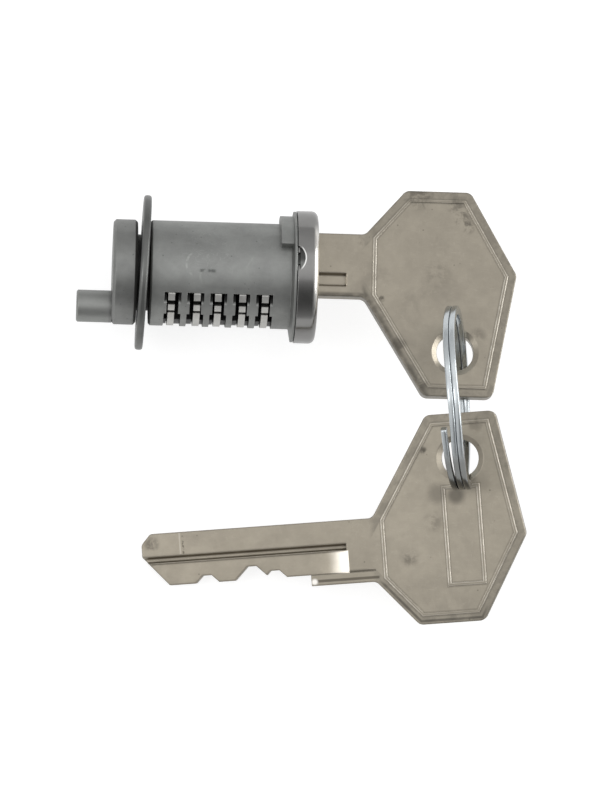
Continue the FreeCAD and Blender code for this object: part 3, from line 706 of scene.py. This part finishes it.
def floor_material():
    """Pale floor. Seen directly or in the metal it is white, and it keeps the shadow."""
    made = bpy.data.materials.new("white_table")
    made.use_nodes = True
    tree = made.node_tree
    shader = tree.nodes["Principled BSDF"]
    shader.inputs["Base Color"].default_value = (0.40, 0.40, 0.40, 1)
    shader.inputs["Roughness"].default_value = 0.9
    shader.inputs["Specular IOR Level"].default_value = 0.0
    seen_directly, seen_in_metal = 0.78, 0.48
    path = node(tree, "ShaderNodeLightPath").outputs
    mirrored = math_node(tree, "MAXIMUM", path["Is Glossy Ray"], path["Is Transmission Ray"])
    strength = math_node(tree, "MAXIMUM", product(tree, path["Is Camera Ray"], seen_directly),
                         product(tree, mirrored, seen_in_metal))
    shine = node(tree, "ShaderNodeEmission", {"Color": (1, 1, 1, 1), "Strength": strength})
    both = node(tree, "ShaderNodeAddShader", {0: shader.outputs[0], 1: shine.outputs[0]})
    tree.links.new(both.outputs[0], tree.nodes["Material Output"].inputs["Surface"])
    return made


def floor(name, half):
    """Square floor under the lowest point of the CAD pieces."""
    mesh = bpy.data.meshes.new(name)
    corners = ((-half, -half), (half, -half), (half, half), (-half, half))
    mesh.from_pydata([(x, y, cad_low.z) for x, y in corners], [], [(0, 1, 2, 3)])
    mesh.materials.append(floor_material())
    made = bpy.data.objects.new(name, mesh)
    scene.collection.objects.link(made)
    return made


table = floor("table", 4.0)


def room_light():
    """Soft room, brighter overhead, with a bright band at the horizon and a dark oval from overhead
    down to the near side. forward and aside are a direction's angles round X and towards +X, and
    the oval has a middle and a reach in both, in degrees."""
    at_horizon, overhead, band_strength, oval_strength = 0.52, 0.80, 0.5, 0.86
    world = bpy.data.worlds.new("soft_room")
    scene.world = world
    world.use_nodes = True
    tree = world.node_tree
    x, y, z = split_up(tree, node(tree, "ShaderNodeTexCoord").outputs["Generated"])
    level = ranged(tree, z, -0.1, 1.0, at_horizon, overhead)
    forward = math_node(tree, "ARCTAN2", product(tree, y, -1.0), z)
    aside = math_node(tree, "ARCSINE", x)
    squares = []
    for angle, middle, reach in ((forward, 48, 62), (aside, 8, 26)):
        apart = math_node(tree, "SUBTRACT", angle, math.radians(middle))
        share = math_node(tree, "DIVIDE", apart, math.radians(reach))
        squares.append(product(tree, share, share))
    away = math_node(tree, "SQRT", math_node(tree, "ADD", *squares))
    dark = product(tree, ranged(tree, away, 0.95, 0.15), oval_strength)
    level = product(tree, level, math_node(tree, "SUBTRACT", 1.0, dark))
    band = ranged(tree, math_node(tree, "ABSOLUTE", z), 0.05, 0.03)
    level = math_node(tree, "ADD", level, product(tree, band, band_strength))
    tree.links.new(level, tree.nodes["Background"].inputs["Strength"])
    tree.nodes["Background"].inputs["Color"].default_value = (1, 1, 1, 1)


def softbox(name, place, aim, width, height, radiance):
    """Area lamp whose face shows that radiance."""
    lamp = bpy.data.lights.new(name, "AREA")
    lamp.shape = "RECTANGLE"
    lamp.size, lamp.size_y = width, height
    lamp.energy = radiance * width * height * math.pi
    made = bpy.data.objects.new(name, lamp)
    scene.collection.objects.link(made)
    made.location = place
    made.rotation_mode = "QUATERNION"
    made.rotation_quaternion = (Vector(aim) - Vector(place)).to_track_quat("-Z", "Y")
    made.visible_camera = False


room_light()
middle_of_part = ((cad_low + cad_high) / 2)[:]
softbox("overhead", (0.0, 0.10, 0.68), middle_of_part, 0.75, 0.62, 0.26)
softbox("right_side", (0.55, 0.05, 0.24), middle_of_part, 0.60, 0.30, 3.4)
softbox("window", (-0.36, -0.12, 0.53), middle_of_part, 0.16, 0.30, 2.6)


def set_camera():
    """Long lens, tipped 10 degrees to the slots' side, turned 3 degrees to the pin's end and rolled so
    that the lock's axis falls to the right. The point behind the picture's middle and the scale are
    read from the photograph."""
    tip, yaw, roll = math.radians(10.0), math.radians(-3.0), math.radians(1.15)
    picture_height, pixel, lens, sensor = 800, 0.137 * MM, 250.0, 36.0
    middle_across, middle_up = 1.18 * MM, -16.82 * MM
    across = Vector((math.cos(yaw), 0, -math.sin(yaw)))
    back = Vector((math.sin(yaw) * math.cos(tip), -math.sin(tip), math.cos(yaw) * math.cos(tip)))
    upward = back.cross(across)
    right = across * math.cos(roll) + upward * math.sin(roll)
    top = upward * math.cos(roll) - across * math.sin(roll)
    data = bpy.data.cameras.new("camera")
    data.lens, data.sensor_width = lens, sensor
    data.clip_start, data.clip_end = 0.01, 50.0
    made = bpy.data.objects.new("camera", data)
    scene.collection.objects.link(made)
    axes = Matrix((right, top, back)).transposed().to_4x4()
    away = picture_height * pixel * lens / sensor
    axes.translation = across * middle_across + upward * middle_up + back * away
    made.matrix_world = axes
    scene.camera = made


set_camera()
scene.view_settings.view_transform = "Standard"
